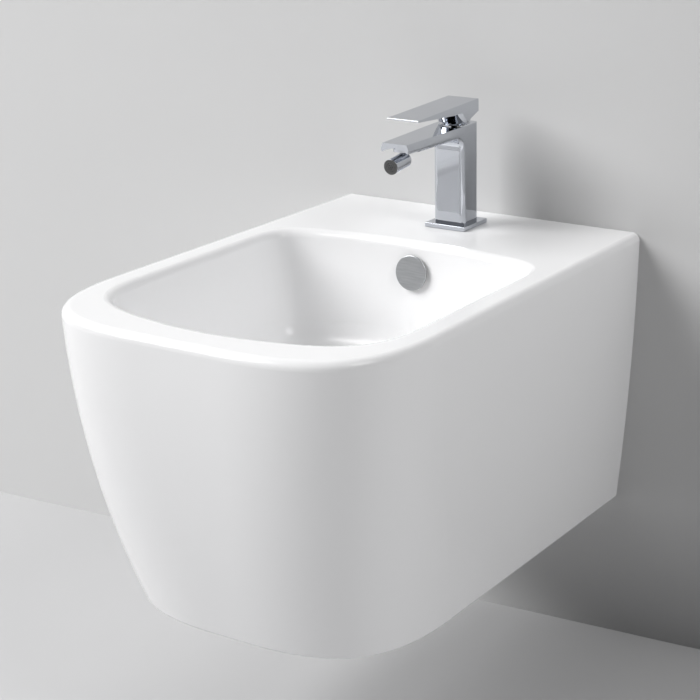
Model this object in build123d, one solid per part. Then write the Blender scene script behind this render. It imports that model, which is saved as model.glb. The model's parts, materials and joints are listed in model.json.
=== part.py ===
from build123d import *
from math import cos, degrees, pi, radians, tan
import os

os.makedirs("parts", exist_ok=True)

# Wall-hung bidet with its tap, waste and trap. Sizes are in millimetres.
# The pieces are laid out from the rim plane: Z is up from the rim, the wall is at Y = 0,
# the bowl stands out towards -Y, and X = 0 is the middle. On saving, everything is raised,
# so that the origin lies midway between the two wall fixings.

# Ceramic body
body_width = 360.0
projection = 520.0
body_height = 295.0
side_lean_at_wall = 20.0
side_lean_at_front = 30.5
front_lean = 59.0
straight_share_of_side = 0.30
straight_share_of_front = 0.16
front_straight = 50.0
front_corner_reach = body_width / 2 - front_straight
soft_corner_hold = 0.507
outline_levels = 6
rim_round = 8.0
foot_round = 5.0
wall_edge_round = 2.5
wall_face_trim = 0.2
off_wall = 1.0
ceramic_wall = 11.0
deck_thickness = 13.0
foot_thickness = 11.0
foot_lip = 22.0
rear_web = 14.0

# Bowl
side_rim_width = 30.5
front_rim_width = 39.0
bowl_width = body_width - 2 * side_rim_width
bowl_front = projection - front_rim_width
bowl_rear = 155.0
bowl_rear_bow = 9.0
bowl_front_bow = 4.0
bowl_front_straight = 49.5
bowl_front_corner = bowl_width / 2 - bowl_front_straight
bowl_rear_corner = 48.0
bowl_side_lean = 14.0
bowl_front_lean = 34.0
bowl_rear_lean = 12.0
bowl_depth = 122.0
bowl_reach_below_floor = 40.0
bowl_floor_slope = 3.5
bowl_floor_bend = 600.0
bowl_floor_round = 34.0
floor_facing = 0.9
bowl_rim_round = 9.0
waste_from_wall = 260.0
dish_slope = 11.0
dish_depth = 4.0
dish_height = 9.0

# Clearances
thread_clearance = 0.05
running_clearance = 0.1
soft_clearance = 0.3

# Openings in the ceramic
fixing_drop = 80.0
fixing_spacing = 180.0
fixing_hole_radius = 9.0
tap_hole_radius = 17.5
waste_boss_height = 30.0
overflow_drop = 31.0
overflow_hole_radius = 11.0
duct_width = 44.0
duct_depth = 9.0
duct_wall = 9.0
duct_head_room = 14.0
service_width = 220.0
service_top = 150.0

# Share of a nut's corner that its end chamfer takes off
nut_corner_cut = 0.5

# Wall fixings
fixing_stud_bore_radius = 6.25
sleeve_flange_radius = 14.0
sleeve_flange = 2.0
fixing_washer_radius = 12.5
fixing_washer = 2.5
fixing_nut_flats = 19.0
fixing_nut_height = 10.0

# Overflow fitting
bush_wall = 1.5
bush_flange = 1.2
bush_flange_lip = 3.0
bush_flange_radius = overflow_hole_radius + bush_flange_lip
bush_stand_off = 0.45
bush_length = 11.0
cover_radius = 17.8
cover_thickness = 2.2
cover_stand_off = 3.2
cover_edge_round = 0.8
cover_spoke = 2.2
cover_spoke_inset = 2.0
cover_spoke_shoulder = bush_flange_radius - cover_spoke_inset
cover_spoke_reach = 8.0

# Tap base and column. The tap's heights are above the deck.
tap_from_wall = 65.0
tap_width = 36.0
column_depth = 31.0
column_edge_round = 5.0
base_plate_margin = 5.5
base_plate_size = tap_width + 2 * base_plate_margin
base_plate = 4.3
base_plate_round = 0.6
base_gasket = 0.5
base_gasket_margin = 2.0
column_bottom = base_gasket + base_plate
column_top_rear = 107.8

# Spout, its lengths from the tap's axis
spout_reach = 116.0
spout_tip_drop = 2.4
spout_tip_height = 10.8
spout_tip_taper = 4.3
spout_arch_radius = 13.0
spout_tip_from_wall = tap_from_wall + spout_reach
spout_tip_top = column_top_rear - spout_tip_drop
spout_underside = spout_tip_top - spout_tip_height
spout_tip_half_top = tap_width / 2 - spout_tip_taper
outlet_setback = 15.0
outlet_from_wall = spout_tip_from_wall - outlet_setback
outlet_boss_radius = 9.5
outlet_boss_recess = 1.4
outlet_boss_bottom = spout_underside + outlet_boss_recess
outlet_roof = 1.8
outlet_chamber_height = 1.2
outlet_chamber_top = spout_tip_top - outlet_roof
outlet_bore_top = outlet_chamber_top - outlet_chamber_height
outlet_bore_radius = 6.0
outlet_step = 0.8
outlet_chamber_radius = outlet_bore_radius - outlet_step
scoop_edge = 0.8
scoop_half_width = tap_width / 2 - scoop_edge
scoop_rise = 6.4
scoop_rear_from_wall = outlet_from_wall - outlet_boss_radius
spout_channel_radius = 1.8
spout_channel_floor = 4.0
spout_channel_drop = 1.7
spout_channel_start = spout_underside + spout_channel_floor
spout_channel_end = outlet_chamber_top - spout_channel_drop

# Nozzle
retaining_sleeve = 1.0
retaining_flange_radius = 7.0
retaining_flange = 0.6
seat_bottom = outlet_boss_bottom + retaining_sleeve
ball_radius = 3.8
ball_above_seat_bottom = 2.0
ball_height = seat_bottom + ball_above_seat_bottom
ball_clearance = 0.08
ball_neck_radius = 1.9
ball_bore_radius = 1.0
retaining_bore_radius = (ball_radius**2 - ball_above_seat_bottom**2) ** 0.5 + ball_clearance
nozzle_radius = 7.7
nozzle_lip = 0.7
nozzle_wall = 1.5
nozzle_mouth_radius = nozzle_radius - nozzle_lip
nozzle_hollow_radius = nozzle_radius - nozzle_wall
nozzle_tilt = 7.0
nozzle_face_reach = 22.4
nozzle_face_drop = 15.2
nozzle_face_from_wall = outlet_from_wall + nozzle_face_reach
nozzle_face_height = ball_height - nozzle_face_drop
nozzle_length = 28.0
nozzle_rear_wall = 3.5
nozzle_rear_round = 3.0
nozzle_lip_round = 0.3
aerator_length = 5.0
aerator_flange = 0.8
aerator_flange_margin = 0.1
aerator_hole_radius = 0.55
aerator_ring_radii = (2.1, 4.3)
aerator_ring_holes = (6, 12)

# Cartridge, hung from the top of the column
column_wall = 2.7
cavity_radius = column_depth / 2 - column_wall
collar_recess = 0.9
collar_height = 1.6
collar_margin = 1.2
collar_edge_round = 1.0
collar_radius = column_depth / 2 - collar_margin
collar_seat = column_top_rear - collar_recess
collar_top = collar_seat + collar_height
cartridge_nut_height = 3.9
cartridge_height = 19.0
cartridge_flange = 1.8
cartridge_base = 2.0
cartridge_seal = 1.2
cartridge_top = collar_seat - cartridge_nut_height
disc_start = cartridge_top - cartridge_height
base_start = disc_start - cartridge_base
cavity_floor = base_start - cartridge_seal
cartridge_gap = 1.3
cartridge_wall = 1.3
cartridge_neck_lip = 0.8
cartridge_radius = cavity_radius - cartridge_gap
cartridge_bore_radius = cartridge_radius - cartridge_wall
cartridge_neck_bore_radius = cartridge_bore_radius - cartridge_neck_lip
disc_margin = 0.2
fixed_disc_radius = cartridge_bore_radius - disc_margin
fixed_disc = 3.0
disc_meeting = disc_start + fixed_disc
port_radius = 1.5
port_offset_x = 3.2
port_offset_y = 2.4
moving_disc_radius = 6.2
moving_disc = 3.9
moving_disc_top = disc_meeting + moving_disc
disc_key_width = 6.8
disc_key_length = 8.0
disc_key_height = 1.2
disc_key_top = moving_disc_top + disc_key_height
disc_socket_radius = 2.3
disc_socket_depth = 3.0
cartridge_window_width = 6.0
cartridge_window_sill = 0.5
cartridge_window_height = 3.0
rotor_radius = cartridge_neck_bore_radius - running_clearance
collar_bore_radius = rotor_radius + soft_clearance
rotor_skirt_radius = cartridge_bore_radius - disc_margin
rotor_skirt_height = 4.6
rotor_height = 13.8
rotor_bottom = moving_disc_top + soft_clearance
rotor_slot_half_length = 7.2
spindle_size = 7.0
spindle_above_key = 1.4
spindle_bottom = disc_key_top + spindle_above_key
spindle_neck_radius = 1.4
spindle_ball_radius = 2.1
spindle_ball_gap = 0.4
spindle_ball_height = disc_key_top - disc_socket_depth + spindle_ball_gap + spindle_ball_radius
pivot_above_spindle_end = 4.5
pivot_height = spindle_bottom + pivot_above_spindle_end
pivot_pin_radius = 1.5
pivot_pin_margin = 1.3
pivot_pin_half_length = rotor_radius - pivot_pin_margin

# Water connections and the fixing of the tap
inlet_offset_x = 6.2
inlet_offset_y = 4.5
inlet_radius = 4.5
inlet_depth = 26.0
waterway_radius = 2.0
waterway_overlap = 2.0
stud_radius = 4.0
stud_offset = 9.0
stud_in_body = 20.0
stud_below_deck = 34.0
base_bore_margin = 1.2
base_bore_radius = stud_offset + stud_radius + base_bore_margin
horseshoe_bearing = 6.5
horseshoe_radius = tap_hole_radius + horseshoe_bearing
horseshoe_slot_margin = 0.8
horseshoe_slot_half_width = inlet_offset_x + inlet_radius + horseshoe_slot_margin
horseshoe_slot_start = 1.5
horseshoe_gasket = 3.0
horseshoe_plate = 2.5
clamp_nut_flats = 13.0
clamp_nut_height = 11.0

# Lever, its lengths from the tap's axis and its heights from the bottom of its skirt
skirt_gap = 1.1
skirt_bottom = collar_top + skirt_gap
lever_height = 21.9
lever_top_rear = skirt_bottom + lever_height
lever_tip_drop = 4.5
lever_top_tip = lever_top_rear - lever_tip_drop
lever_tip_thickness = 1.6
lever_length = 101.0
lever_rear_from_wall = tap_from_wall - column_depth / 2
lever_tip_from_wall = tap_from_wall + lever_length
lever_root_length = 35.0
lever_root_from_wall = tap_from_wall + lever_root_length
lever_root_height = 11.8
lever_root_bottom = skirt_bottom + lever_root_height
lever_edge_round = 0.5
skirt_rear_wall = 2.1
skirt_bore_radius = column_depth / 2 - skirt_rear_wall
skirt_hollow_depth = 11.4
skirt_roof = skirt_bottom + skirt_hollow_depth
skirt_spread = 6.5
heel_start = 3.5
heel_from_wall = tap_from_wall + heel_start
heel_front_height = 0.6
heel_middle_height = 3.8
heel_rear_height = 9.4
spindle_boss_radius = 6.5
spindle_boss_height = 5.0
spindle_boss_bottom = skirt_roof - spindle_boss_height
spindle_in_blade = 5.0
spindle_top = skirt_roof + spindle_in_blade
grub_screw_radius = 2.0
grub_screw_length = 7.5
grub_screw_height = (skirt_roof + spindle_top) / 2
grub_socket_flats = 2.0
grub_socket_depth = 2.5

# Waste
waste_tube_radius = 20.9
waste_tube_wall = 3.4
waste_tube_bore_radius = waste_tube_radius - waste_tube_wall
waste_tube_grip = 5.5
union_gap = 0.5
waste_hole_margin = 2.1
waste_hole_radius = waste_tube_radius + waste_hole_margin
flange_radius = 31.5
flange_thickness = 2.5
flange_edge_round = 1.0
flange_gasket = 1.5
flange_gasket_margin = 1.0
flange_gasket_radius = flange_radius - flange_gasket_margin
dish_margin = 3.5
dish_flat_radius = flange_radius + dish_margin
overflow_slot_width = 10.0
overflow_slot_count = 4
back_gasket_radius = 31.0
back_gasket = 4.0
back_nut_flats = 56.0
back_nut_height = 7.0
waste_boss_margin = 7.0
waste_boss_radius = back_gasket_radius + waste_boss_margin
plug_margin = 1.5
plug_radius = flange_radius - plug_margin
plug_thickness = 3.5
plug_crown = 2.5
plug_crown_radius = 14.0
plug_open_gap = 8.0
plug_seal = 1.5
plug_seal_radius = 25.0
plug_seal_bore_radius = 10.0
stem_radius = 3.0
stem_collar_radius = 5.0
stem_collar = 3.0
guide_drop = 26.0
guide_height = 5.0
guide_rim = 1.9
guide_rim_bore_radius = waste_tube_bore_radius - guide_rim
guide_spoke = 2.4
guide_spokes = 3
spring_gap = 2.0
spring_radius = stem_radius + spring_gap
spring_wire_radius = 0.5
spring_turns = 7
guide_hub_margin = 1.5
guide_hub_radius = spring_radius + guide_hub_margin

# Elbow and trap
pipe_radius = 16.0
pipe_wall = 1.5
elbow_straight = 6.0
elbow_bend = 20.0
elbow_collar = 2.0
elbow_collar_margin = 0.9
waste_union_seal = 3.0
union_wall = 4.1
union_lip = 2.5
union_height = 14.0
union_seal = 3.0
union_edge = 1.0
socket_wall = 4.0
socket_radius = pipe_radius + socket_wall
pipe_in_socket = 13.0
trap_from_wall = 78.0
trap_fall = 16.0
trap_head_radius = 27.0
trap_head_wall = 2.5
trap_head_above_inlet = 24.0
trap_head_below_outlet = 28.0
inlet_socket_reach = 20.0
outlet_socket_reach = 12.0
dip_wall = 1.6
dip_reach = 37.0
cup_wall = 3.0
cup_depth = 46.0
cup_grip = 6.0
cup_bottom_round = 8.0
cup_seal = 2.0
outlet_into_wall = 30.0
outlet_mark_width = 1.0
outlet_mark_depth = 0.3
rosette_radius = 34.0
rosette_thickness = 7.0
rosette_wall = 1.5
rosette_edge_round = 2.0


def rod(radius, height):
    return Cylinder(radius, height, align=(Align.CENTER, Align.CENTER, Align.MIN))


def ring(radius, bore, height):
    return rod(radius, height) - rod(bore, height)


def cone(bottom, top, height):
    return Cone(bottom, top, height, align=(Align.CENTER, Align.CENTER, Align.MIN))


def slab(width, depth, height):
    return Box(width, depth, height, align=(Align.CENTER, Align.CENTER, Align.MIN))


def hex_nut(flats, height, bore):
    """A nut with its corners chamfered at both ends."""
    corner = flats / 2 / cos(pi / 6)
    blank = extrude(RegularPolygon(flats / 2, 6, major_radius=False), height)
    ends = rod(corner, height).edges().filter_by(GeomType.CIRCLE)
    blank = blank & chamfer(ends, (corner - flats / 2) * nut_corner_cut)
    return blank - rod(bore, height)


def bore_between(start, finish, radius):
    way = Vector(*finish) - Vector(*start)
    return Plane(origin=start, z_dir=way) * rod(radius, way.length)


def side_profile(points, width):
    """A solid from an outline of (distance from the wall, height), centred on X."""
    face = make_face(Polyline([(0, -away, up) for away, up in points], close=True))
    return extrude(face, amount=width / 2, dir=(1, 0, 0), both=True)


def from_wall(x, depth):
    """A place on the wall plane, with the local Z running out from the wall."""
    return Pos(x, 0, -depth) * Rot(X=90)


def save(name, solid):
    export_step(Pos(0, 0, fixing_drop) * solid, f"parts/{name}.step")


# The ceramic body

def soft_corner(before, after):
    start = before @ 1
    finish = after @ 0
    reach = (finish - start).length * soft_corner_hold
    leave = start + (before % 1) * reach
    arrive = finish - (after % 0) * reach
    return Bezier(start, leave, arrive, finish)


def lean(depth, whole, straight_share):
    share = depth / body_height
    return whole * (straight_share * share + (1 - straight_share) * share**2)


def body_outline(depth, inset, rear):
    at_wall = body_width / 2 - lean(depth, side_lean_at_wall, straight_share_of_side) - inset
    at_front = body_width / 2 - lean(depth, side_lean_at_front, straight_share_of_side) - inset
    front = projection - lean(depth, front_lean, straight_share_of_front) - inset
    reach = front_corner_reach - inset
    right_rear = Vector(at_wall, -rear)
    right_front = Vector(at_front, -front)
    side_end = right_front - (right_front - right_rear).normalized() * reach
    rear_line = Line((-at_wall, -rear), right_rear)
    right_line = Line(right_rear, side_end)
    front_line = Line((at_front - reach, -front), (reach - at_front, -front))
    left_line = Line((-side_end.X, side_end.Y), (-at_wall, -rear))
    corners = [soft_corner(right_line, front_line), soft_corner(front_line, left_line)]
    wire = Wire([rear_line, right_line, corners[0], front_line, corners[1], left_line])
    return Pos(0, 0, -depth) * Face(wire)


def body_block(top, bottom, inset=0.0, rear=0.0):
    step = (bottom - top) / (outline_levels - 1)
    levels = [top + step * level for level in range(outline_levels)]
    return loft([body_outline(depth, inset, rear) for depth in levels])


def bowl_outline(depth, skin):
    share = depth / bowl_depth
    half = bowl_width / 2 - bowl_side_lean * share + skin
    rear = -bowl_rear - bowl_rear_lean * share + skin
    front = -bowl_front + bowl_front_lean * share - skin
    rear_corner = bowl_rear_corner + skin
    front_corner = bowl_front_corner + skin / 2
    rear_half = half - rear_corner
    front_half = half - front_corner
    rear_arc = ThreePointArc((-rear_half, rear), (0, rear + bowl_rear_bow), (rear_half, rear))
    front_arc = ThreePointArc((front_half, front + bowl_front_bow), (0, front),
                              (-front_half, front + bowl_front_bow))
    right_line = Line((half, rear - rear_corner), (half, front + front_corner))
    left_line = Line((-half, front + front_corner), (-half, rear - rear_corner))
    wire = Wire([rear_arc, soft_corner(rear_arc, right_line), right_line,
                 soft_corner(right_line, front_arc), front_arc,
                 soft_corner(front_arc, left_line), left_line, soft_corner(left_line, rear_arc)])
    return Pos(0, 0, -depth) * Face(wire)


def bowl_block(skin=0.0):
    """The space of the bowl, or with a skin the ceramic that surrounds it."""
    above_rim = bowl_outline(-ceramic_wall, skin)
    walls = loft([above_rim, bowl_outline(bowl_depth + bowl_reach_below_floor, skin)], ruled=True)
    floor = -bowl_depth - skin
    rise = (projection - waste_from_wall) * tan(radians(bowl_floor_slope))
    below = make_face(Polyline([(0, 0, floor), (0, -waste_from_wall, floor),
                                (0, -projection, floor + rise),
                                (0, -projection, -body_height), (0, 0, -body_height)], close=True))
    bend = below.vertices().sort_by_distance((0, -waste_from_wall, floor))[0]
    below = fillet(bend, bowl_floor_bend)
    block = walls - extrude(below, amount=body_width, dir=(1, 0, 0), both=True)
    floor_faces = block.faces().filter_by(lambda face: face.normal_at().Z < -floor_facing)
    edges = [edge for face in floor_faces for edge in face.edges()]
    outer = [edge for edge in edges if sum(edge.is_same(other) for other in edges) == 1]
    return fillet(outer, bowl_floor_round + skin / 2)


seat_depth = bowl_depth + dish_depth
boss_bottom = seat_depth + waste_boss_height
waste_place = Pos(0, -waste_from_wall, 0)
wall_slope = bowl_rear_lean / bowl_depth
overflow_wall = bowl_rear - bowl_rear_bow + wall_slope * overflow_drop
overflow_place = Pos(0, -overflow_wall, -overflow_drop) * Rot(X=-90 - degrees(wall_slope))
duct_rear = bowl_rear - bowl_rear_bow - ceramic_wall - duct_depth
duct_top = seat_depth + ceramic_wall


def ceramic_body():
    block = body_block(0, body_height, rear=-wall_face_trim)
    rim = block.faces().sort_by(Axis.Z)[-1].edges()
    block = fillet([edge for edge in rim if (edge @ 0.5).Y < -off_wall], rim_round)
    foot = block.faces().sort_by(Axis.Z)[0].edges()
    block = fillet([edge for edge in foot if (edge @ 0.5).Y < -off_wall], foot_round)
    block = fillet(block.faces().sort_by(Axis.Y)[-1].edges(), wall_edge_round)
    block = split(block, bisect_by=Plane.XZ, keep=Keep.TOP)
    block = block - bowl_block()
    mouth = block.faces().sort_by(Axis.Z)[-1].inner_wires()[0].edges()
    block = fillet(mouth, bowl_rim_round)
    dish_top_radius = dish_flat_radius + dish_height / tan(radians(dish_slope))
    dish = cone(dish_flat_radius, dish_top_radius, dish_height)
    block = block - waste_place * Pos(0, 0, -seat_depth) * dish

    hollow = body_block(deck_thickness, body_height - foot_thickness, ceramic_wall, rear_web)
    hollow = hollow - bowl_block(ceramic_wall)
    hollow = hollow - waste_place * Pos(0, 0, -boss_bottom) * rod(waste_boss_radius, boss_bottom)
    duct_bottom = duct_top + duct_depth + duct_wall
    duct_back = duct_rear - duct_wall
    fall_front = bowl_rear + bowl_rear_lean
    fall = Pos(0, -(duct_back + fall_front) / 2, -duct_bottom) * slab(
        duct_width + 2 * duct_wall, fall_front - duct_back, duct_bottom)
    run = Pos(0, -(duct_back + waste_from_wall) / 2, -duct_bottom) * slab(
        duct_width + 2 * duct_wall, waste_from_wall - duct_back, duct_bottom - bowl_depth)
    block = block - (hollow - fall - run)

    service = Pos(0, 0, -body_height) * slab(
        service_width, 2 * rear_web, body_height - service_top)
    foot_opening = body_block(body_height - 2 * foot_thickness, body_height + foot_thickness,
                              ceramic_wall + foot_lip, rear_web)
    block = block - service - foot_opening

    for side in (-1, 1):
        block = block - from_wall(side * fixing_spacing / 2, fixing_drop) * rod(
            fixing_hole_radius, rear_web)
    block = block - Pos(0, -tap_from_wall, -deck_thickness) * rod(tap_hole_radius, deck_thickness)
    block = block - waste_place * Pos(0, 0, -boss_bottom) * rod(waste_hole_radius, waste_boss_height)

    channel_bottom = duct_top + duct_depth
    fall_channel = Pos(0, -duct_rear - duct_depth / 2, -channel_bottom) * slab(
        duct_width, duct_depth, channel_bottom - overflow_drop + duct_head_room)
    run_channel = Pos(0, -(duct_rear + waste_from_wall) / 2, -channel_bottom) * slab(
        duct_width, waste_from_wall - duct_rear, duct_depth)
    overflow = overflow_place * Pos(0, 0, -duct_depth / 2) * rod(
        overflow_hole_radius, overflow_wall - duct_rear)
    return block - fall_channel - run_channel - overflow


save("ceramic_body", ceramic_body())


# Wall fixings: a flanged sleeve, a washer and a nut in each of the two rear holes

def fixing_sleeve():
    tube = rod(fixing_hole_radius - soft_clearance, rear_web)
    flange = Pos(0, 0, rear_web) * rod(sleeve_flange_radius, sleeve_flange)
    return tube + flange - rod(fixing_stud_bore_radius, rear_web + sleeve_flange)


for side_name, side in (("left", -1), ("right", 1)):
    place = from_wall(side * fixing_spacing / 2, fixing_drop)
    washer_start = rear_web + sleeve_flange
    washer = ring(fixing_washer_radius, fixing_stud_bore_radius, fixing_washer)
    nut = hex_nut(fixing_nut_flats, fixing_nut_height, fixing_stud_bore_radius)
    save(f"fixing_sleeve_{side_name}", place * fixing_sleeve())
    save(f"fixing_washer_{side_name}", place * Pos(0, 0, washer_start) * washer)
    save(f"fixing_nut_{side_name}", place * Pos(0, 0, washer_start + fixing_washer) * nut)


# Overflow: a flanged bush in the rear wall of the bowl, and the round cover in front of it

bush_radius = overflow_hole_radius - soft_clearance
bush_bore = bush_radius - bush_wall
bush_face = bush_stand_off + bush_flange


def overflow_bush():
    tube = Pos(0, 0, -bush_stand_off) * rod(bush_radius, bush_stand_off + bush_length)
    flange = Pos(0, 0, -bush_face) * rod(bush_flange_radius, bush_flange)
    return tube + flange - Pos(0, 0, -bush_face) * rod(bush_bore, bush_face + bush_length)


def overflow_cover():
    disc = Pos(0, 0, -cover_stand_off - cover_thickness) * rod(cover_radius, cover_thickness)
    disc = fillet(disc.edges().sort_by(Axis.Z)[0], cover_edge_round)
    reach = bush_bore - thread_clearance
    for turn in (0, 90):
        shoulder = slab(2 * cover_spoke_shoulder, cover_spoke, cover_stand_off - bush_face)
        leg = slab(2 * reach, cover_spoke, cover_spoke_reach) & rod(reach, cover_spoke_reach)
        disc = disc + Rot(Z=turn) * Pos(0, 0, -cover_stand_off) * shoulder
        disc = disc + Rot(Z=turn) * Pos(0, 0, -bush_face) * leg
    return disc


save("overflow_bush", overflow_place * overflow_bush())
save("overflow_cover", overflow_place * overflow_cover())


# Tap base and body

tap_place = Pos(0, -tap_from_wall, 0)
column_front = tap_from_wall + column_depth / 2
column_rear = tap_from_wall - column_depth / 2
top_slope = (column_top_rear - spout_tip_top) / (spout_tip_from_wall - column_rear)
column_top_front = column_top_rear - top_slope * column_depth
outlet_place = Pos(0, -outlet_from_wall, 0)


def tap_gasket():
    size = base_plate_size - 2 * base_gasket_margin
    return tap_place * (slab(size, size, base_gasket) - rod(base_bore_radius, base_gasket))


def tap_base_plate():
    plate = slab(base_plate_size, base_plate_size, base_plate)
    plate = fillet(plate.edges().filter_by(Axis.Z), base_plate_round)
    plate = fillet(plate.faces().sort_by(Axis.Z)[-1].edges(), base_plate_round / 2)
    return tap_place * Pos(0, 0, base_gasket) * (plate - rod(base_bore_radius, base_plate))


def spout_section(away, top, half_top):
    half = tap_width / 2
    corners = [(-half, spout_underside), (half, spout_underside), (half_top, top), (-half_top, top)]
    return make_face(Polyline([(x, -away, z) for x, z in corners], close=True))


def tap_body():
    column = side_profile([(column_rear, column_bottom), (column_rear, column_top_rear),
                           (column_front, column_top_front), (column_front, column_bottom)],
                          tap_width)
    spout = loft([spout_section(column_front, column_top_front, tap_width / 2),
                  spout_section(spout_tip_from_wall, spout_tip_top, spout_tip_half_top)], ruled=True)
    lower_length = spout_tip_from_wall - column_rear
    lower = Pos(0, -column_rear - lower_length / 2, column_bottom) * slab(
        tap_width, lower_length, spout_underside - column_bottom)
    inner_corner = Vector(0, -column_front, spout_underside)
    outline = make_face(Polyline([(0, -away, up) for away, up in (
        (column_rear, column_bottom), (column_rear, column_top_rear),
        (spout_tip_from_wall, spout_tip_top), (spout_tip_from_wall, spout_underside),
        (column_front, spout_underside), (column_front, column_bottom))], close=True))
    outline = fillet(outline.vertices().sort_by_distance(inner_corner)[0], spout_arch_radius)
    body = extrude(outline, amount=tap_width / 2, dir=(1, 0, 0), both=True)
    body = body & (column + spout + lower)
    upright = body.edges().filter_by(Axis.Z).filter_by(lambda edge: edge.length > tap_width)
    body = fillet(upright, column_edge_round)

    scoop_radius = (scoop_half_width**2 + scoop_rise**2) / (2 * scoop_rise)
    scoop_length = spout_tip_from_wall - scoop_rear_from_wall
    scoop = Pos(0, -scoop_rear_from_wall, spout_underside + scoop_rise - scoop_radius) * Rot(X=90)
    body = body - scoop * rod(scoop_radius, scoop_length)
    boss = outlet_place * Pos(0, 0, outlet_boss_bottom)
    body = body + boss * rod(outlet_boss_radius, outlet_bore_top - outlet_boss_bottom)

    body = body - boss * rod(outlet_bore_radius, outlet_bore_top - outlet_boss_bottom)
    body = body - boss * rod(outlet_chamber_radius, outlet_chamber_top - outlet_boss_bottom)
    channel_end = outlet_from_wall - outlet_chamber_radius / 2
    body = body - bore_between((0, -tap_from_wall, spout_channel_start),
                               (0, -channel_end, spout_channel_end), spout_channel_radius)
    body = body - tap_place * Pos(0, 0, cavity_floor) * rod(
        cavity_radius, column_top_rear - cavity_floor)
    body = body - tap_place * Pos(0, 0, collar_seat) * rod(
        collar_radius + thread_clearance, column_top_rear - collar_seat)
    for side in (-1, 1):
        inlet = tap_place * Pos(side * inlet_offset_x, inlet_offset_y, column_bottom)
        body = body - inlet * rod(inlet_radius, inlet_depth)
        waterway_start = column_bottom + inlet_depth - waterway_overlap
        body = body - tap_place * bore_between(
            (side * inlet_offset_x, inlet_offset_y, waterway_start),
            (side * port_offset_x, port_offset_y, cavity_floor + waterway_overlap), waterway_radius)
    return body - tap_place * Pos(0, -stud_offset, column_bottom) * rod(
        stud_radius + thread_clearance, stud_in_body)


save("tap_gasket", tap_gasket())
save("tap_base_plate", tap_base_plate())
save("tap_body", tap_body())


# Clamp that holds the tap from under the deck

def horseshoe(height):
    slot_length = horseshoe_radius + horseshoe_slot_start
    slot = Pos(0, slot_length / 2 - horseshoe_slot_start, 0) * slab(
        2 * horseshoe_slot_half_width, slot_length, height)
    hole = Pos(0, -stud_offset, 0) * rod(stud_radius + soft_clearance, height)
    return rod(horseshoe_radius, height) - slot - hole


stud_place = tap_place * Pos(0, -stud_offset, 0)
stud_length = column_bottom + stud_in_body + stud_below_deck
clamp_gasket_bottom = -deck_thickness - horseshoe_gasket
clamp_plate_bottom = clamp_gasket_bottom - horseshoe_plate
clamp_nut_bottom = clamp_plate_bottom - clamp_nut_height
clamp_nut = hex_nut(clamp_nut_flats, clamp_nut_height, stud_radius + thread_clearance)
save("tap_stud", stud_place * Pos(0, 0, -stud_below_deck) * rod(stud_radius, stud_length))
save("clamp_gasket", tap_place * Pos(0, 0, clamp_gasket_bottom) * horseshoe(horseshoe_gasket))
save("clamp_plate", tap_place * Pos(0, 0, clamp_plate_bottom) * horseshoe(horseshoe_plate))
save("clamp_nut", stud_place * Pos(0, 0, clamp_nut_bottom) * clamp_nut)


# Cartridge: seal, base, two discs, housing, nut, collar, rotor and spindle

spindle_slot = spindle_size + 2 * running_clearance
pin_place = Pos(-pivot_pin_half_length, 0, pivot_height) * Rot(Y=90)


def ported_disc(radius, height):
    disc = rod(radius, height)
    for side in (-1, 1):
        disc = disc - Pos(side * port_offset_x, port_offset_y, 0) * rod(port_radius, height)
    return disc


def disc_with_key():
    disc = Pos(0, 0, disc_meeting) * rod(moving_disc_radius, moving_disc)
    disc = disc + Pos(0, 0, moving_disc_top) * slab(disc_key_width, disc_key_length, disc_key_height)
    return disc - Pos(0, 0, disc_key_top - disc_socket_depth) * rod(
        disc_socket_radius, disc_socket_depth)


def cartridge_housing():
    housing = rod(cartridge_radius, cartridge_height)
    housing = housing + Pos(0, 0, cartridge_height - cartridge_flange) * rod(
        cavity_radius - thread_clearance, cartridge_flange)
    housing = housing - rod(cartridge_neck_bore_radius, cartridge_height)
    neck_bottom = rotor_bottom + rotor_skirt_height + disc_margin
    housing = housing - rod(cartridge_bore_radius, neck_bottom - disc_start)
    window = Pos(0, -cartridge_radius, fixed_disc + cartridge_window_sill) * slab(
        cartridge_window_width, cartridge_radius, cartridge_window_height)
    return Pos(0, 0, disc_start) * (housing - window)


def cartridge_collar():
    dome = fillet(rod(collar_radius, collar_height).edges().sort_by(Axis.Z)[-1], collar_edge_round)
    return Pos(0, 0, collar_seat) * (dome - rod(collar_bore_radius, collar_height))


def rotor():
    drum = rod(rotor_radius, rotor_height) + rod(rotor_skirt_radius, rotor_skirt_height)
    drum = drum - slab(spindle_slot, 2 * rotor_slot_half_length, rotor_height)
    return Pos(0, 0, rotor_bottom) * drum - pin_place * rod(
        pivot_pin_radius + thread_clearance, 2 * pivot_pin_half_length)


def spindle():
    bar = Pos(0, 0, spindle_bottom) * slab(spindle_size, spindle_size, spindle_top - spindle_bottom)
    bar = bar + Pos(0, 0, spindle_ball_height) * rod(
        spindle_neck_radius, spindle_bottom - spindle_ball_height)
    bar = bar + Pos(0, 0, spindle_ball_height) * Sphere(spindle_ball_radius)
    return bar - pin_place * rod(pivot_pin_radius + running_clearance, 2 * pivot_pin_half_length)


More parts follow.
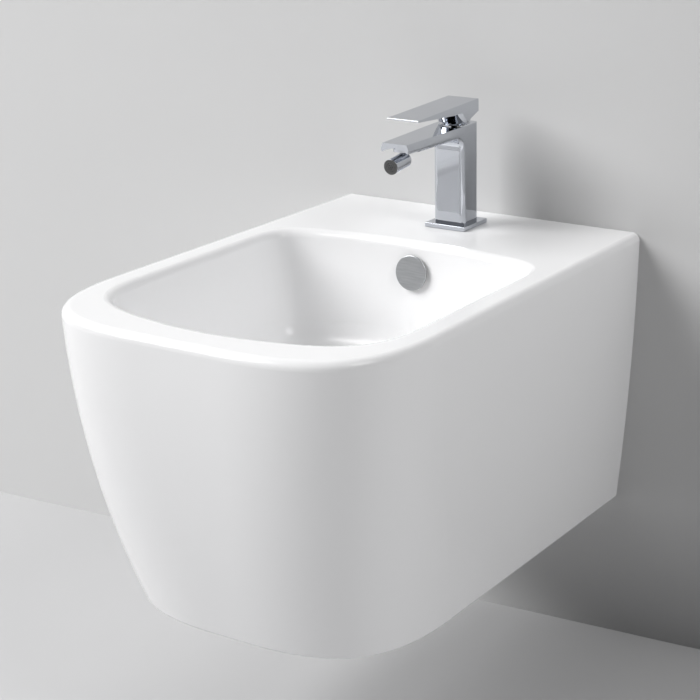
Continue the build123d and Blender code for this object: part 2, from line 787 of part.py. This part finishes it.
cartridge_parts = {
    "cartridge_seal": Pos(0, 0, cavity_floor) * ported_disc(cartridge_radius, cartridge_seal),
    "cartridge_base": Pos(0, 0, base_start) * ported_disc(cartridge_radius, cartridge_base),
    "fixed_disc": Pos(0, 0, disc_start) * ported_disc(fixed_disc_radius, fixed_disc),
    "moving_disc": disc_with_key(),
    "cartridge_housing": cartridge_housing(),
    "cartridge_nut": Pos(0, 0, cartridge_top) * ring(
        cavity_radius - thread_clearance, collar_bore_radius, cartridge_nut_height),
    "cartridge_collar": cartridge_collar(),
    "cartridge_rotor": rotor(),
    "pivot_pin": pin_place * rod(pivot_pin_radius, 2 * pivot_pin_half_length),
    "spindle": spindle(),
}
for part_name, solid in cartridge_parts.items():
    save(part_name, tap_place * solid)


# Lever

grub_place = from_wall(0, -grub_screw_height)
grub_screw_start = tap_from_wall - spindle_size / 2 - grub_screw_length


def lever():
    half = tap_width / 2
    blade = side_profile([(lever_rear_from_wall, skirt_roof), (lever_rear_from_wall, lever_top_rear),
                          (lever_tip_from_wall, lever_top_tip),
                          (lever_tip_from_wall, lever_top_tip - lever_tip_thickness),
                          (lever_root_from_wall, lever_root_bottom), (tap_from_wall, skirt_roof)],
                         tap_width)
    skirt = cone(half, half + skirt_spread, lever_root_height)
    skirt = skirt & Pos(0, -tap_width / 2, 0) * slab(tap_width, tap_width, lever_root_height)
    rear_half = column_depth / 2
    skirt = skirt + Pos(0, rear_half / 2, 0) * slab(tap_width, rear_half, lever_root_height)
    heel = side_profile([(heel_from_wall, skirt_bottom),
                         (heel_from_wall, skirt_bottom + heel_front_height),
                         (tap_from_wall, skirt_bottom + heel_middle_height),
                         (lever_rear_from_wall, skirt_bottom + heel_rear_height),
                         (lever_rear_from_wall, skirt_bottom)], tap_width)
    body = blade + tap_place * Pos(0, 0, skirt_bottom) * skirt - heel
    body = fillet(body.faces().sort_by(Axis.Z)[-1].edges(), lever_edge_round)
    inside = Pos(0, 0, skirt_bottom) * rod(skirt_bore_radius, skirt_roof - skirt_bottom)
    boss = Pos(0, 0, spindle_boss_bottom) * rod(spindle_boss_radius, skirt_roof - spindle_boss_bottom)
    grip = spindle_size + 2 * thread_clearance
    square = Pos(0, 0, spindle_boss_bottom) * slab(grip, grip, spindle_top - spindle_boss_bottom)
    body = body - tap_place * (inside - boss) - tap_place * square
    return body - grub_place * Pos(0, 0, lever_rear_from_wall) * rod(
        grub_screw_radius + thread_clearance, tap_from_wall - lever_rear_from_wall)


def grub_screw():
    socket = extrude(RegularPolygon(grub_socket_flats / 2, 6, major_radius=False), grub_socket_depth)
    return rod(grub_screw_radius, grub_screw_length) - socket


save("lever", lever())
save("grub_screw", grub_place * Pos(0, 0, grub_screw_start) * grub_screw())


# Nozzle on its ball joint

ball_place = outlet_place * Pos(0, 0, ball_height)
nozzle_place = Pos(0, -nozzle_face_from_wall, nozzle_face_height) * Rot(X=nozzle_tilt - 90)


def nozzle_seat():
    seat = outlet_place * Pos(0, 0, seat_bottom) * rod(
        outlet_bore_radius - running_clearance, outlet_bore_top - seat_bottom)
    return seat - ball_place * Sphere(ball_radius + ball_clearance)


def retaining_ring():
    sleeve_length = seat_bottom - outlet_boss_bottom
    sleeve = Pos(0, 0, retaining_flange) * rod(outlet_bore_radius - thread_clearance, sleeve_length)
    flange = rod(retaining_flange_radius, retaining_flange)
    opening = rod(retaining_bore_radius, retaining_flange + sleeve_length)
    bottom = outlet_boss_bottom - retaining_flange
    return outlet_place * Pos(0, 0, bottom) * (sleeve + flange - opening)


def nozzle_body():
    barrel = Pos(0, 0, aerator_flange) * rod(nozzle_radius, nozzle_length - aerator_flange)
    barrel = fillet(barrel.edges().sort_by(Axis.Z)[-1], nozzle_rear_round)
    barrel = fillet(barrel.edges().sort_by(Axis.Z)[0], nozzle_lip_round)
    hollow = rod(nozzle_mouth_radius, aerator_length)
    hollow = hollow + rod(nozzle_hollow_radius, nozzle_length - nozzle_rear_wall)
    along = nozzle_face_from_wall - outlet_from_wall
    axis_height = nozzle_face_height + along * tan(radians(nozzle_tilt))
    neck_bottom = axis_height + nozzle_hollow_radius
    neck = outlet_place * Pos(0, 0, neck_bottom) * rod(ball_neck_radius, ball_height - neck_bottom)
    body = nozzle_place * (barrel - hollow) + neck + ball_place * Sphere(ball_radius)
    return body - outlet_place * Pos(0, 0, axis_height) * rod(
        ball_bore_radius, ball_height + ball_radius - axis_height)


def aerator():
    insert = rod(nozzle_mouth_radius - thread_clearance, aerator_length)
    insert = insert + rod(nozzle_radius - aerator_flange_margin, aerator_flange)
    insert = insert - rod(aerator_hole_radius, aerator_length)
    for ring_radius, count in zip(aerator_ring_radii, aerator_ring_holes):
        for hole in PolarLocations(ring_radius, count):
            insert = insert - hole * rod(aerator_hole_radius, aerator_length)
    return insert


save("nozzle_seat", nozzle_seat())
save("nozzle_retaining_ring", retaining_ring())
save("nozzle_body", nozzle_body())
save("nozzle_aerator", nozzle_place * aerator())


# Waste fitting with its push plug

flange_top = seat_depth - flange_gasket - flange_thickness
guide_top = flange_top + guide_drop
guide_bottom = guide_top + guide_height
plug_seal_bottom = flange_top - plug_open_gap
plug_bottom = plug_seal_bottom - plug_seal
back_nut_top = boss_bottom + back_gasket
back_nut_bottom = back_nut_top + back_nut_height
waste_tube_end = back_nut_bottom + union_gap + waste_tube_grip
gasket_bore = waste_tube_radius + soft_clearance


def at_depth(depth):
    return waste_place * Pos(0, 0, -depth)


def waste_body():
    length = waste_tube_end - flange_top
    flange = Pos(0, 0, length - flange_thickness) * rod(flange_radius, flange_thickness)
    flange = fillet(flange.edges().sort_by(Axis.Z)[-1], flange_edge_round)
    body = rod(waste_tube_radius, length) + flange - rod(waste_tube_bore_radius, length)
    slot_bottom = waste_tube_end - duct_top - duct_depth
    for turn in range(overflow_slot_count):
        slot = Pos(waste_tube_radius, 0, slot_bottom) * slab(
            waste_tube_radius, overflow_slot_width, duct_depth)
        body = body - Rot(Z=turn * 360 / overflow_slot_count) * slot
    return body


def plug_guide():
    rim_radius = waste_tube_bore_radius - thread_clearance
    guide = ring(rim_radius, guide_rim_bore_radius, guide_height) + rod(guide_hub_radius, guide_height)
    for turn in range(guide_spokes):
        middle = (guide_rim_bore_radius + rim_radius) / 4
        spoke = Pos(middle, 0, 0) * slab(2 * middle, guide_spoke, guide_height)
        guide = guide + Rot(Z=turn * 360 / guide_spokes) * spoke
    return guide - rod(stem_radius + running_clearance, guide_height)


def plug_stem():
    length = guide_bottom - plug_bottom
    return Pos(0, 0, stem_collar) * rod(stem_radius, length) + rod(stem_collar_radius, stem_collar)


def plug_spring():
    length = guide_top - plug_bottom - 2 * spring_wire_radius
    coil = Helix(length / spring_turns, length, spring_radius)
    wire = sweep(Plane(origin=coil @ 0, z_dir=coil % 0) * Circle(spring_wire_radius), path=coil,
                 is_frenet=True)
    return Pos(0, 0, spring_wire_radius) * wire


waste_parts = {
    "waste_body": at_depth(waste_tube_end) * waste_body(),
    "waste_flange_gasket": at_depth(seat_depth) * ring(
        flange_gasket_radius, gasket_bore, flange_gasket),
    "waste_back_gasket": at_depth(back_nut_top) * ring(back_gasket_radius, gasket_bore, back_gasket),
    "waste_back_nut": at_depth(back_nut_bottom) * hex_nut(
        back_nut_flats, back_nut_height, waste_tube_radius + thread_clearance),
    "plug_guide": at_depth(guide_bottom) * plug_guide(),
    "plug_cap": at_depth(plug_bottom) * (rod(plug_radius, plug_thickness) + Pos(
        0, 0, plug_thickness) * cone(plug_radius, plug_crown_radius, plug_crown)),
    "plug_seal": at_depth(plug_seal_bottom) * ring(
        plug_seal_radius, plug_seal_bore_radius, plug_seal),
    "plug_stem": at_depth(guide_bottom + stem_collar) * plug_stem(),
    "plug_spring": at_depth(guide_top) * plug_spring(),
}
for part_name, solid in waste_parts.items():
    save(part_name, solid)


# Elbow and bottle trap

elbow_top = waste_tube_end + waste_union_seal
elbow_collar_bottom = elbow_top + elbow_collar
waste_union_bottom = elbow_collar_bottom + union_lip
waste_union_height = waste_tube_grip + waste_union_seal + elbow_collar + union_lip
trap_inlet_depth = elbow_top + elbow_straight + elbow_bend
trap_outlet_depth = trap_inlet_depth + trap_fall
trap_head_top = trap_inlet_depth - trap_head_above_inlet
trap_head_bottom = trap_outlet_depth + trap_head_below_outlet
dip_bottom = trap_head_bottom + dip_reach
cup_top = trap_head_bottom - cup_grip
cup_bottom = trap_head_bottom + cup_depth
pipe_bore = pipe_radius - pipe_wall
socket_bore = pipe_radius + thread_clearance
inlet_socket_end = trap_from_wall + trap_head_radius + inlet_socket_reach
outlet_socket_end = trap_from_wall - trap_head_radius - outlet_socket_reach
trap_place = Pos(0, -trap_from_wall, 0)
head_bore = trap_head_radius - trap_head_wall


def pipe_along_wall_normal(start, finish, depth, radius):
    """A round bar along Y between two distances from the wall."""
    return from_wall(0, depth) * Pos(0, 0, start) * rod(radius, finish - start)


def waste_elbow():
    top = Vector(0, -waste_from_wall, -elbow_top)
    bend_start = Vector(0, -waste_from_wall, elbow_bend - trap_inlet_depth)
    bend_finish = Vector(0, elbow_bend - waste_from_wall, -trap_inlet_depth)
    pipe_end = Vector(0, pipe_in_socket - inlet_socket_end, -trap_inlet_depth)
    path = Wire([Line(top, bend_start), TangentArc(bend_start, bend_finish, tangent=(0, 0, -1)),
                 Line(bend_finish, pipe_end)])
    start_plane = Plane(origin=top, z_dir=(0, 0, -1))
    pipe = sweep(start_plane * Circle(pipe_radius), path=path)
    bore = sweep(start_plane * Circle(pipe_bore), path=path)
    collar = rod(waste_tube_radius - elbow_collar_margin, elbow_collar)
    return pipe + at_depth(elbow_collar_bottom) * collar - bore


def union_nut(height, bore):
    """A round nut whose lip is at its start."""
    nut = chamfer(rod(bore + union_wall, height).edges().filter_by(GeomType.CIRCLE), union_edge)
    lip_hole = rod(pipe_radius + soft_clearance, union_lip)
    return nut - lip_hole - Pos(0, 0, union_lip) * rod(bore, height - union_lip)


def trap_body():
    head = rod(trap_head_radius, trap_head_bottom - trap_head_top)
    head = trap_place * Pos(0, 0, -trap_head_bottom) * head
    inlet = pipe_along_wall_normal(trap_from_wall, inlet_socket_end, trap_inlet_depth, socket_radius)
    outlet = pipe_along_wall_normal(outlet_socket_end, trap_from_wall, trap_outlet_depth, socket_radius)
    head_inside = trap_place * Pos(0, 0, -trap_head_bottom) * rod(
        head_bore, trap_head_bottom - trap_head_top - trap_head_wall)
    dip = trap_place * Pos(0, 0, -dip_bottom) * rod(pipe_radius, dip_bottom - trap_head_top)
    dip_inside = trap_place * Pos(0, 0, -dip_bottom) * rod(
        pipe_radius - dip_wall, dip_bottom - trap_head_top - trap_head_wall)
    inlet_tube = pipe_along_wall_normal(
        trap_from_wall, trap_from_wall + trap_head_radius, trap_inlet_depth, pipe_radius)
    inlet_bore = pipe_along_wall_normal(
        trap_from_wall, inlet_socket_end, trap_inlet_depth, pipe_bore)
    outlet_bore = pipe_along_wall_normal(
        outlet_socket_end, trap_from_wall - pipe_radius, trap_outlet_depth, pipe_bore)
    inlet_mouth = pipe_along_wall_normal(
        inlet_socket_end - pipe_in_socket, inlet_socket_end, trap_inlet_depth, socket_bore)
    outlet_mouth = pipe_along_wall_normal(
        outlet_socket_end, outlet_socket_end + pipe_in_socket, trap_outlet_depth, socket_bore)
    body = head + inlet + outlet - head_inside - outlet_bore + dip + inlet_tube
    return body - dip_inside - inlet_bore - inlet_mouth - outlet_mouth


def trap_cup():
    height = cup_bottom - cup_top
    radius = trap_head_radius + cup_wall
    cup = rod(radius, height)
    cup = fillet(cup.edges().sort_by(Axis.Z)[0], cup_bottom_round)
    thread_length = trap_head_bottom + cup_seal - cup_top
    inside = Pos(0, 0, cup_wall) * rod(head_bore, height - cup_wall)
    inside = fillet(inside.edges().sort_by(Axis.Z)[0], cup_bottom_round - cup_wall)
    thread = Pos(0, 0, height - thread_length) * rod(trap_head_radius + thread_clearance, thread_length)
    return trap_place * Pos(0, 0, -cup_bottom) * (cup - inside - thread)


def rosette():
    cover = fillet(rod(rosette_radius, rosette_thickness).edges().sort_by(Axis.Z)[-1],
                   rosette_edge_round)
    hollow = rod(rosette_radius - rosette_wall, rosette_thickness - rosette_wall)
    return cover - hollow - rod(pipe_radius + soft_clearance, rosette_thickness)


outlet_place_on_wall = from_wall(0, trap_outlet_depth)
outlet_pipe_start = outlet_socket_end + pipe_in_socket
outlet_seal_start = outlet_socket_end - union_seal
inlet_nut_end = inlet_socket_end + union_seal + union_lip
outlet_nut_start = outlet_seal_start - union_lip
trap_nut = union_nut(union_height, socket_radius + thread_clearance)
pipe_seal = ring(socket_radius - soft_clearance, pipe_radius + soft_clearance, union_seal)
waste_seal = ring(waste_tube_radius - soft_clearance, waste_tube_bore_radius, waste_union_seal)
outlet_bar = ring(pipe_radius, pipe_bore, outlet_pipe_start + outlet_into_wall)
outlet_mark = ring(pipe_radius, pipe_radius - outlet_mark_depth, outlet_mark_width)
trap_parts = {
    "elbow_seal": at_depth(elbow_top) * waste_seal,
    "elbow_nut": at_depth(waste_union_bottom) * union_nut(
        waste_union_height, waste_tube_radius + thread_clearance),
    "waste_elbow": waste_elbow(),
    "trap_inlet_seal": from_wall(0, trap_inlet_depth) * Pos(0, 0, inlet_socket_end) * pipe_seal,
    "trap_inlet_nut": from_wall(0, trap_inlet_depth) * Pos(0, 0, inlet_nut_end) * Rot(
        X=180) * trap_nut,
    "trap_body": trap_body(),
    "cup_seal": trap_place * Pos(0, 0, -trap_head_bottom - cup_seal) * ring(
        trap_head_radius - soft_clearance, head_bore, cup_seal),
    "trap_cup": trap_cup(),
    "trap_outlet_seal": outlet_place_on_wall * Pos(0, 0, outlet_seal_start) * pipe_seal,
    "trap_outlet_nut": outlet_place_on_wall * Pos(0, 0, outlet_nut_start) * trap_nut,
    "outlet_pipe": outlet_place_on_wall * (Pos(0, 0, -outlet_into_wall) * outlet_bar - outlet_mark),
    "wall_rosette": outlet_place_on_wall * rosette(),
}
for part_name, solid in trap_parts.items():
    save(part_name, solid)
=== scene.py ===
import json
import math

import bpy
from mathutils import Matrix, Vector


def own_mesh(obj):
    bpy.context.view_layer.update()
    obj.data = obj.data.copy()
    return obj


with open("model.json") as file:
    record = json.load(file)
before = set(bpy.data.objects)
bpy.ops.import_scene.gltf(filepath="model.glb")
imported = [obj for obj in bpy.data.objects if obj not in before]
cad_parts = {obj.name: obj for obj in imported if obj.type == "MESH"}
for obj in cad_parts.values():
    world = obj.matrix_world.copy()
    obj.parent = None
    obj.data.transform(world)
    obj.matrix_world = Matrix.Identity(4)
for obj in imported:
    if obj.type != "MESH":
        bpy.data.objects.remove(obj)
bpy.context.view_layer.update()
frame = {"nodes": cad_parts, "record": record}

nodes = frame["nodes"]
subparts = frame["record"]["subparts"]


# Materials: tone and roughness follow one noise on Object coordinates, and some have a bump

noise_detail = 2.0
ramp_start = 0.3
ramp_end = 0.7


def node_tree(name):
    material = bpy.data.materials.new(name)
    material.use_nodes = True
    tree = material.node_tree
    return material, tree, tree.nodes["Principled BSDF"]


def object_coordinates(tree, stretch=(1, 1, 1)):
    coordinates = tree.nodes.new("ShaderNodeTexCoord")
    mapping = tree.nodes.new("ShaderNodeMapping")
    mapping.inputs["Scale"].default_value = stretch
    tree.links.new(coordinates.outputs["Object"], mapping.inputs["Vector"])
    return mapping.outputs["Vector"]


def noise(tree, vector, scale):
    texture = tree.nodes.new("ShaderNodeTexNoise")
    texture.inputs["Scale"].default_value = scale
    texture.inputs["Detail"].default_value = noise_detail
    tree.links.new(vector, texture.inputs["Vector"])
    return texture.outputs["Fac"]


def ramp(tree, factor, low, high):
    colours = tree.nodes.new("ShaderNodeValToRGB")
    first, last = colours.color_ramp.elements
    first.position = ramp_start
    first.color = (*low, 1)
    last.position = ramp_end
    last.color = (*high, 1)
    tree.links.new(factor, colours.inputs["Fac"])
    return colours.outputs["Color"]


def spread(tree, factor, low, high):
    values = tree.nodes.new("ShaderNodeMapRange")
    values.inputs["To Min"].default_value = low
    values.inputs["To Max"].default_value = high
    tree.links.new(factor, values.inputs["Value"])
    return values.outputs["Result"]


def bump(tree, shader, height, strength, distance):
    node = tree.nodes.new("ShaderNodeBump")
    node.inputs["Strength"].default_value = strength
    node.inputs["Distance"].default_value = distance
    tree.links.new(height, node.inputs["Height"])
    tree.links.new(node.outputs["Normal"], shader.inputs["Normal"])


def surface(name, low, high, roughness, metallic=0.0, specular=0.5, scale=30.0, stretch=(1, 1, 1),
            bump_strength=0.0, bump_distance=0.0, bump_scale=0.0):
    material, tree, shader = node_tree(name)
    vector = object_coordinates(tree, stretch)
    grain = noise(tree, vector, scale)
    tree.links.new(ramp(tree, grain, low, high), shader.inputs["Base Color"])
    tree.links.new(spread(tree, grain, *roughness), shader.inputs["Roughness"])
    shader.inputs["Metallic"].default_value = metallic
    shader.inputs["Specular IOR Level"].default_value = specular
    if bump_strength:
        bump(tree, shader, noise(tree, vector, bump_scale), bump_strength, bump_distance)
    return material


finishes = {
    "glaze": dict(low=(0.89, 0.89, 0.895), high=(0.905, 0.905, 0.91), roughness=(0.16, 0.20),
                  specular=0.36, scale=3.0, bump_strength=0.10, bump_distance=0.0004,
                  bump_scale=9.0),
    "chrome": dict(low=(0.56, 0.58, 0.62), high=(0.59, 0.61, 0.65), roughness=(0.03, 0.06),
                   metallic=1.0, scale=14.0),
    "pipe_chrome": dict(low=(0.74, 0.75, 0.77), high=(0.80, 0.81, 0.83), roughness=(0.08, 0.16),
                        metallic=1.0, scale=20.0),
    "satin_cover": dict(low=(0.42, 0.43, 0.44), high=(0.50, 0.51, 0.52), roughness=(0.28, 0.36),
                        metallic=1.0, scale=60.0, stretch=(1, 1, 12)),
    "white_plastic": dict(low=(0.74, 0.74, 0.72), high=(0.78, 0.78, 0.76), roughness=(0.4, 0.5),
                          bump_strength=0.2, bump_distance=0.00005, bump_scale=900.0),
    "rubber": dict(low=(0.02, 0.02, 0.02), high=(0.035, 0.035, 0.035), roughness=(0.7, 0.85),
                   bump_strength=0.3, bump_distance=0.00008, bump_scale=1500.0),
    "steel": dict(low=(0.50, 0.50, 0.50), high=(0.60, 0.60, 0.60), roughness=(0.25, 0.38),
                  metallic=1.0, scale=90.0),
    "cartridge_plastic": dict(low=(0.62, 0.62, 0.58), high=(0.70, 0.70, 0.66),
                              roughness=(0.4, 0.5)),
    "disc_ceramic": dict(low=(0.76, 0.74, 0.68), high=(0.82, 0.80, 0.75), roughness=(0.25, 0.35)),
    "brass": dict(low=(0.58, 0.42, 0.18), high=(0.68, 0.51, 0.24), roughness=(0.22, 0.35),
                  metallic=1.0, scale=70.0),
    "aerator_grey": dict(low=(0.06, 0.06, 0.06), high=(0.10, 0.10, 0.10), roughness=(0.35, 0.5),
                         scale=500.0),
}
by_slot = {slot: surface(slot, **finish) for slot, finish in finishes.items()}
for part in subparts:
    mesh = nodes[part["node"]].data
    mesh.materials.clear()
    mesh.materials.append(by_slot[part["material_slot"]])

# The brass spindle is nickel plated, and a little of it shows under the lever
nodes["spindle"].data.materials[0] = surface(
    "nickel", low=(0.34, 0.33, 0.31), high=(0.40, 0.39, 0.37), roughness=(0.22, 0.32),
    metallic=1.0, scale=80.0)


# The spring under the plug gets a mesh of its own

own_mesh(nodes["plug_spring"])


# Stage: the floor and the wall behind, neither of them part of the object

stage_size = 12
stage_roughness = 0.9
stage_specular = 0.1
stage_grain_scale = 2.0
stage_low_tone = 0.985
floor_place = (0, -1, -0.377)
floor_fall = math.radians(1.99)
floor_colour = (0.612, 0.612, 0.617)
backdrop_place = (0, 0.0005, 2)
backdrop_colour = (0.685, 0.685, 0.685)


def clear_from_behind(tree, shader):
    geometry = tree.nodes.new("ShaderNodeNewGeometry")
    clear = tree.nodes.new("ShaderNodeBsdfTransparent")
    mix = tree.nodes.new("ShaderNodeMixShader")
    tree.links.new(geometry.outputs["Backfacing"], mix.inputs["Fac"])
    tree.links.new(shader.outputs["BSDF"], mix.inputs[1])
    tree.links.new(clear.outputs["BSDF"], mix.inputs[2])
    tree.links.new(mix.outputs["Shader"], tree.nodes["Material Output"].inputs["Surface"])


def stage_plane(name, location, rotation, colour, one_sided):
    bpy.ops.mesh.primitive_plane_add(size=stage_size, location=location, rotation=rotation)
    plane = bpy.context.object
    plane.name = name
    material, tree, shader = node_tree(name)
    shader.inputs["Roughness"].default_value = stage_roughness
    shader.inputs["Specular IOR Level"].default_value = stage_specular
    grain = noise(tree, object_coordinates(tree), stage_grain_scale)
    low = tuple(stage_low_tone * value for value in colour)
    tree.links.new(ramp(tree, grain, low, colour), shader.inputs["Base Color"])
    if one_sided:
        clear_from_behind(tree, shader)
    plane.data.materials.append(material)
    return plane


floor = stage_plane("floor", floor_place, (0, -floor_fall, 0), floor_colour, one_sided=False)
stage_plane("backdrop", backdrop_place, (math.pi / 2, 0, 0), backdrop_colour, one_sided=True)


# Light: a large soft key from the upper left, a weak fill from the right, and one for the rear

key_place = (-4.93, -4.13, 4.76)
key_side = 5.0
key_power = 710
fill_place = (3.7, -1.0, 3.2)
fill_side = 2.0
fill_power = 76
front_target = (0, -0.2, 0)
rear_place = (-0.3, 5.0, -0.1)
rear_target = (0, 0, -0.1)
rear_side = 1.0
rear_power = 45


def area_light(name, location, target, side, power):
    light = bpy.data.lights.new(name, "AREA")
    light.shape = "RECTANGLE"
    light.size = side
    light.size_y = side
    light.energy = power
    lamp = bpy.data.objects.new(name, light)
    lamp.location = location
    aim = Vector(target) - Vector(location)
    lamp.rotation_euler = aim.to_track_quat("-Z", "Y").to_euler()
    bpy.context.scene.collection.objects.link(lamp)
    return lamp


def part_collection(name):
    collection = bpy.data.collections.new(name)
    for part in subparts:
        collection.objects.link(nodes[part["node"]])
    return collection


area_light("key", key_place, front_target, key_side, key_power)

# The fill leaves the wall alone, so the object's shadow there stays as dark as the key makes it
fill = area_light("fill", fill_place, front_target, fill_side, fill_power)
lit_by_fill = part_collection("lit_by_fill")
lit_by_fill.objects.link(floor)
fill.light_linking.receiver_collection = lit_by_fill

# A weak lamp behind the wall shows the rear of the object, and reaches nothing else
rear = area_light("rear", rear_place, rear_target, rear_side, rear_power)
rear.visible_glossy = False
whole_part = part_collection("whole_part")
rear.light_linking.receiver_collection = whole_part
rear.light_linking.blocker_collection = whole_part


# World: almost dark as a light, pale to the camera and in between in reflections

sky_colour = (0.80, 0.81, 0.83, 1)
light_strength = 0.015
camera_strength = 0.8
reflected_strength = 0.3

world = bpy.data.worlds.new("studio")
bpy.context.scene.world = world
world.use_nodes = True
sky = world.node_tree
sky.nodes.remove(sky.nodes["Background"])
path = sky.nodes.new("ShaderNodeLightPath")


def background(strength):
    node = sky.nodes.new("ShaderNodeBackground")
    node.inputs["Color"].default_value = sky_colour
    node.inputs["Strength"].default_value = strength
    return node.outputs["Background"]


def for_rays(kind, others, these):
    mix = sky.nodes.new("ShaderNodeMixShader")
    sky.links.new(path.outputs[kind], mix.inputs["Fac"])
    sky.links.new(others, mix.inputs[1])
    sky.links.new(these, mix.inputs[2])
    return mix.outputs["Shader"]


seen = for_rays("Is Camera Ray", background(light_strength), background(camera_strength))
reflected = for_rays("Is Glossy Ray", seen, background(reflected_strength))
sky.links.new(reflected, sky.nodes["World Output"].inputs["Surface"])


# Camera, as the photograph was taken

camera_place = (0.88904, -1.56209, 0.51983)
camera_down = math.radians(15.47)
camera_turn = math.radians(30.03)
camera_lens = 89.04
camera_sensor = 36
camera_shift_x = -0.1797
camera_shift_y = -0.1234

camera_data = bpy.data.cameras.new("camera")
camera_data.sensor_width = camera_sensor
camera_data.lens = camera_lens
camera_data.shift_x = camera_shift_x
camera_data.shift_y = camera_shift_y
camera = bpy.data.objects.new("camera", camera_data)
camera.location = camera_place
camera.rotation_euler = (math.pi / 2 - camera_down, 0, camera_turn)
bpy.context.scene.collection.objects.link(camera)
bpy.context.scene.camera = camera
bpy.context.scene.view_settings.view_transform = "Standard"
